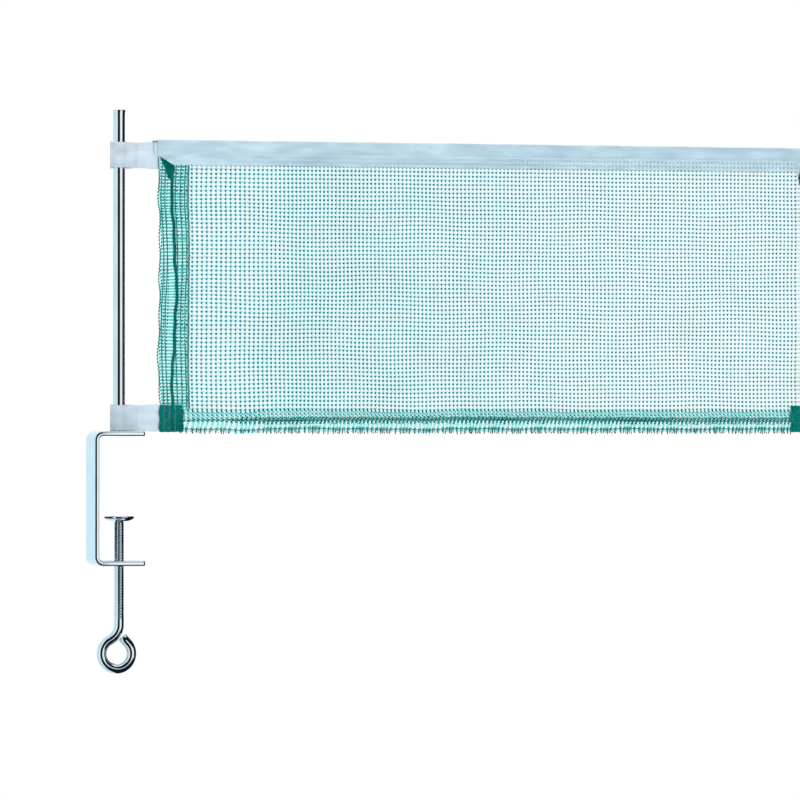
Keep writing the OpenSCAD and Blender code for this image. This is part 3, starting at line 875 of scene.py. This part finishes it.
def thickened(grid, thickness):
    """The closed skin of a cloth: the grid's points moved half the thickness to either side along
    the grid's normal, joined round the edges."""
    along = np.gradient(grid, axis=0)
    across = np.gradient(grid, axis=1)
    normal = np.cross(along, across)
    normal /= np.linalg.norm(normal, axis=2, keepdims=True) + 1e-15
    outer, inner = grid + normal * thickness / 2, grid - normal * thickness / 2
    skin = np.concatenate([outer, inner[:, ::-1]], 1)
    caps = [np.concatenate([grid[i], grid[i, ::-1]]) for i in (0, -1)]
    return np.concatenate([caps[0][None], skin, caps[1][None]])


def cotton_tape(name, pale, dark, thread, clear, clear_below=0.0):
    """White woven tape: a fine plain weave, with painted shade darkening its colour where it is creased, and
    thin enough to let what lies behind it show faintly, more so in the lower half of a band that has
    clear_below."""
    m = Finish(bpy.data.materials.new(name))
    x, z = m.axis("X"), m.axis("Z")
    warp = (x * (2 * math.pi / thread)).sine() * 0.5 + 0.5
    weft = (z * (2 * math.pi / thread)).sine() * 0.5 + 0.5
    weave = warp * weft
    crease = m.noise(5 * mm, 4, (3.2, 1, 0.8))
    soil = m.noise(30 * mm, 3)
    # Painted shade: the colour darkens along the creases, and the soil noise adds an uneven tone of its own.
    colour = m.mix((crease * 0.7 + soil * 0.3).ramp(0.35, 0.68), dark, pale)
    colour = m.mix(weave * 0.12, colour, dark)
    thin = x.ramp(45 * mm, 90 * mm) * (1.0 - z.ramp(144 * mm, 149 * mm)) + x.ramp(150 * mm, 300 * mm) * 0.4
    solid = 1.0 - clear - thin * clear_below + weave * 0.1
    relief = m.bump(weave * 0.3 + crease, 0.09 * mm)
    return m.surface(Base_Color=colour, Roughness=0.8 - weave * 0.1, Alpha=solid, Normal=relief)


band_cloth = cotton_tape("band_cotton", rgb(208, 233, 243), rgb(180, 207, 221), 0.55 * mm, 0.36, 0.26)
band_sheet = band_grid()
band = piece("band_tape", thickened(band_sheet, cloth_t), "net", band_cloth, ["top_band"])

# The stitching: one row of white lockstitch through the band, just above its lower edge.
stitch_pitch = 2.6 * mm
stitch_x = np.arange(band_lo[0] + 9 * mm, band_hi[0] - 9 * mm, stitch_pitch)
t = np.linspace(0, 1, 5)
stitch_z = band_lo[2] + 2.6 * mm
hump = (np.sin(t * math.pi) * 0.35 + 0.68) * mm
along_x = stitch_x[:, None] + t * 0.78 * stitch_pitch
stitches = [np.stack([along_x, 0 * along_x + s * hump, 0 * along_x + stitch_z], -1) for s in (-1, 1)]
thread_white = yarn("stitching_cotton", rgb(196, 220, 232), rgb(170, 198, 214))
strands("band_stitching", [np.concatenate(stitches)], 0.1 * mm, "net", thread_white, sides=4)

# The head cord: a thin laid cord in the fold of the band. Its cut ends stick out by the straps, and
# a loose yarn hangs from the near one.
cord_lo, cord_hi = (np.array(c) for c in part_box("head_cord"))
cord_y, cord_z = (cord_lo[1] + cord_hi[1]) / 2, (cord_lo[2] + cord_hi[2]) / 2
head_line = cord_line((cord_lo[0], cord_y, cord_z), (cord_hi[0], cord_y, cord_z), 1400, (0, 0, 0))
dull_green = yarn("dull_green_cord", rgb(96, 138, 138), rgb(58, 98, 98), 0.8 * mm)
laid_cord("band_head_cord", head_line, 0.55 * mm, "net", dull_green, "head_cord", 1.7 * mm)
fray_x = (0.3, 0.5, 0.35, 0.55, 0.45)
fray_y = (-0.9, -1.05, -1.1, -1.1, -1.1)
fray_z = (0.1, -1.5, -3.2, -5.0, -6.4)
fray = np.stack([fray_x, fray_y, fray_z], -1) * mm
fray = fray + [cord_lo[0], cord_y, cord_z]
strands("band_head_cord_fray", [fray[None]], 0.1 * mm, "net", dull_green, sides=4)

# The loops and straps: white cotton tape. Each goes round a post, and its two ends lie together
# and are sewn into the band or the corner. By this post a thinner ring of the tape turns on the
# rod, and the ends are wrapped round it.
tape_t = 0.7 * mm
tape_half = 6.5 * mm
neck = 9.5 * mm


def tape_outline(thickness):
    """The tape's outline: its thickness across the path, and its width upright, in 26 rows."""
    return ring(thickness, 2 * tape_half, 0.2 * mm, steps=3, flats=26)


def rumpled(grid, middle_z, amount):
    """The same tape after use: its edges wander up and down, and shallow wrinkles run round it."""
    x, y, z = (grid[..., i] for i in range(3))
    angle = np.arctan2(y, x + 1e-9)
    share = (z - middle_z) / tape_half
    wander = 0.28 * np.sin(3 * angle + 70 * x) + 0.2 * np.sin(x * 420 + angle)
    fold = np.sin(share * 9 + 160 * x + angle) * 0.5 + np.sin(share * 17 - 90 * x) * 0.3
    out = grid.copy()
    out[..., 2] += wander * share * amount * mm
    out[..., 1] += np.sign(y) * np.maximum(fold, 0) * 0.12 * amount * mm
    return out


def tape_sweep(line, middle_z, closed, thickness=tape_t):
    """The tape's outline carried along a line of (x, y), closed on itself or capped at both ends."""
    before, after = (np.roll(line, 1, 0), np.roll(line, -1, 0)) if closed else (line, line)
    along = after - before if closed else np.gradient(line, axis=0)
    along /= np.linalg.norm(along, axis=1)[:, None]
    path = np.column_stack([line, np.full(len(line), middle_z)])
    across = np.column_stack([along[:, 1], -along[:, 0], 0 * along[:, 0]])
    up = np.broadcast_to([0.0, 0.0, 1.0], path.shape)
    grid = carried(tape_outline(thickness), path, across, up)
    return grid if closed else capped(grid, path)


def legs(near_r, neck_x, end_x, wrap_from, count=60):
    """Half of the two ends: round a circle of radius near_r to its tangent, in to half the tape's
    thickness at neck_x, and on to end_x. Gives (x, y) with y below the axis."""
    away = math.acos(near_r / math.hypot(neck_x, tape_t / 2)) - math.atan2(tape_t / 2, neck_x)
    start = near_r * np.array([math.cos(away), -math.sin(away)])
    bends = np.array([start, start * 0.55 + np.array([neck_x, -tape_t / 2]) * 0.45, (neck_x, -tape_t / 2)])
    t = np.linspace(0, 1, 18)[:, None]
    curve = (1 - t) ** 2 * bends[0] + 2 * t * (1 - t) * bends[1] + t**2 * bends[2]
    run = np.linspace(neck_x, end_x, count)[1:]
    wrap = np.linspace(wrap_from, -away, 30)[:-1]
    wrap = near_r * np.column_stack([np.cos(wrap), np.sin(wrap)])
    flat_run = np.column_stack([run, np.full(len(run), -tape_t / 2)])
    return np.concatenate([wrap, curve, flat_run])


tape_cloth = cotton_tape("strap_cotton", rgb(218, 231, 240), rgb(196, 212, 224), 0.6 * mm, 0.46)
post_gap = 0.5 * mm
loop_mid = post_r + post_gap + tape_t / 2
turn_back = np.linspace(-math.pi / 2, math.pi / 2, 9)[1:-1]


def folded_end(x):
    """The tape's half turn at its end x: half a circle of the tape's own half thickness."""
    return np.column_stack([x + np.cos(turn_back) * tape_t / 2, np.sin(turn_back) * tape_t / 2])


for name, strap in (("top", "top_strap"), ("bottom", "bottom_strap")):
    lo, hi = (np.array(c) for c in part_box(strap))
    middle_z = (lo[2] + hi[2]) / 2
    angle = np.linspace(0, 2 * math.pi, 72, endpoint=False)
    inner_t = 0.5 * tape_t
    circle = (post_r + post_gap + inner_t / 2) * np.column_stack([np.cos(angle), np.sin(angle)])
    loop = tape_sweep(circle, middle_z, True, inner_t)
    piece(name + "_tape_ring", loop, "loops", tape_cloth, [name + "_loop"], loop_u=True)
    half = legs(loop_mid + 0.6 * tape_t, neck, hi[0] - tape_t, -math.radians(176))
    line = np.concatenate([half, folded_end(hi[0] - tape_t), half[::-1] * [1, -1]])
    ends = rumpled(tape_sweep(line, middle_z, False), middle_z, 1.0)
    piece(name + "_tape_ends", ends, "net", tape_cloth, [strap])
    far_lo, far_hi = (np.array(c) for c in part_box("far_" + strap))
    far_x = far_hi[0] - (loop_mid + tape_t / 2)
    end_x = far_x - far_lo[0] - tape_t
    half = legs(loop_mid, neck, end_x, -math.pi)
    line = np.concatenate([half, folded_end(end_x), half[:0:-1] * [1, -1]])
    line = line * [-1, 1] + [far_x, 0]
    far = tape_sweep(line, middle_z, True)
    piece("far_" + name + "_tape", far, "net", tape_cloth, ["far_" + strap], loop_u=True)
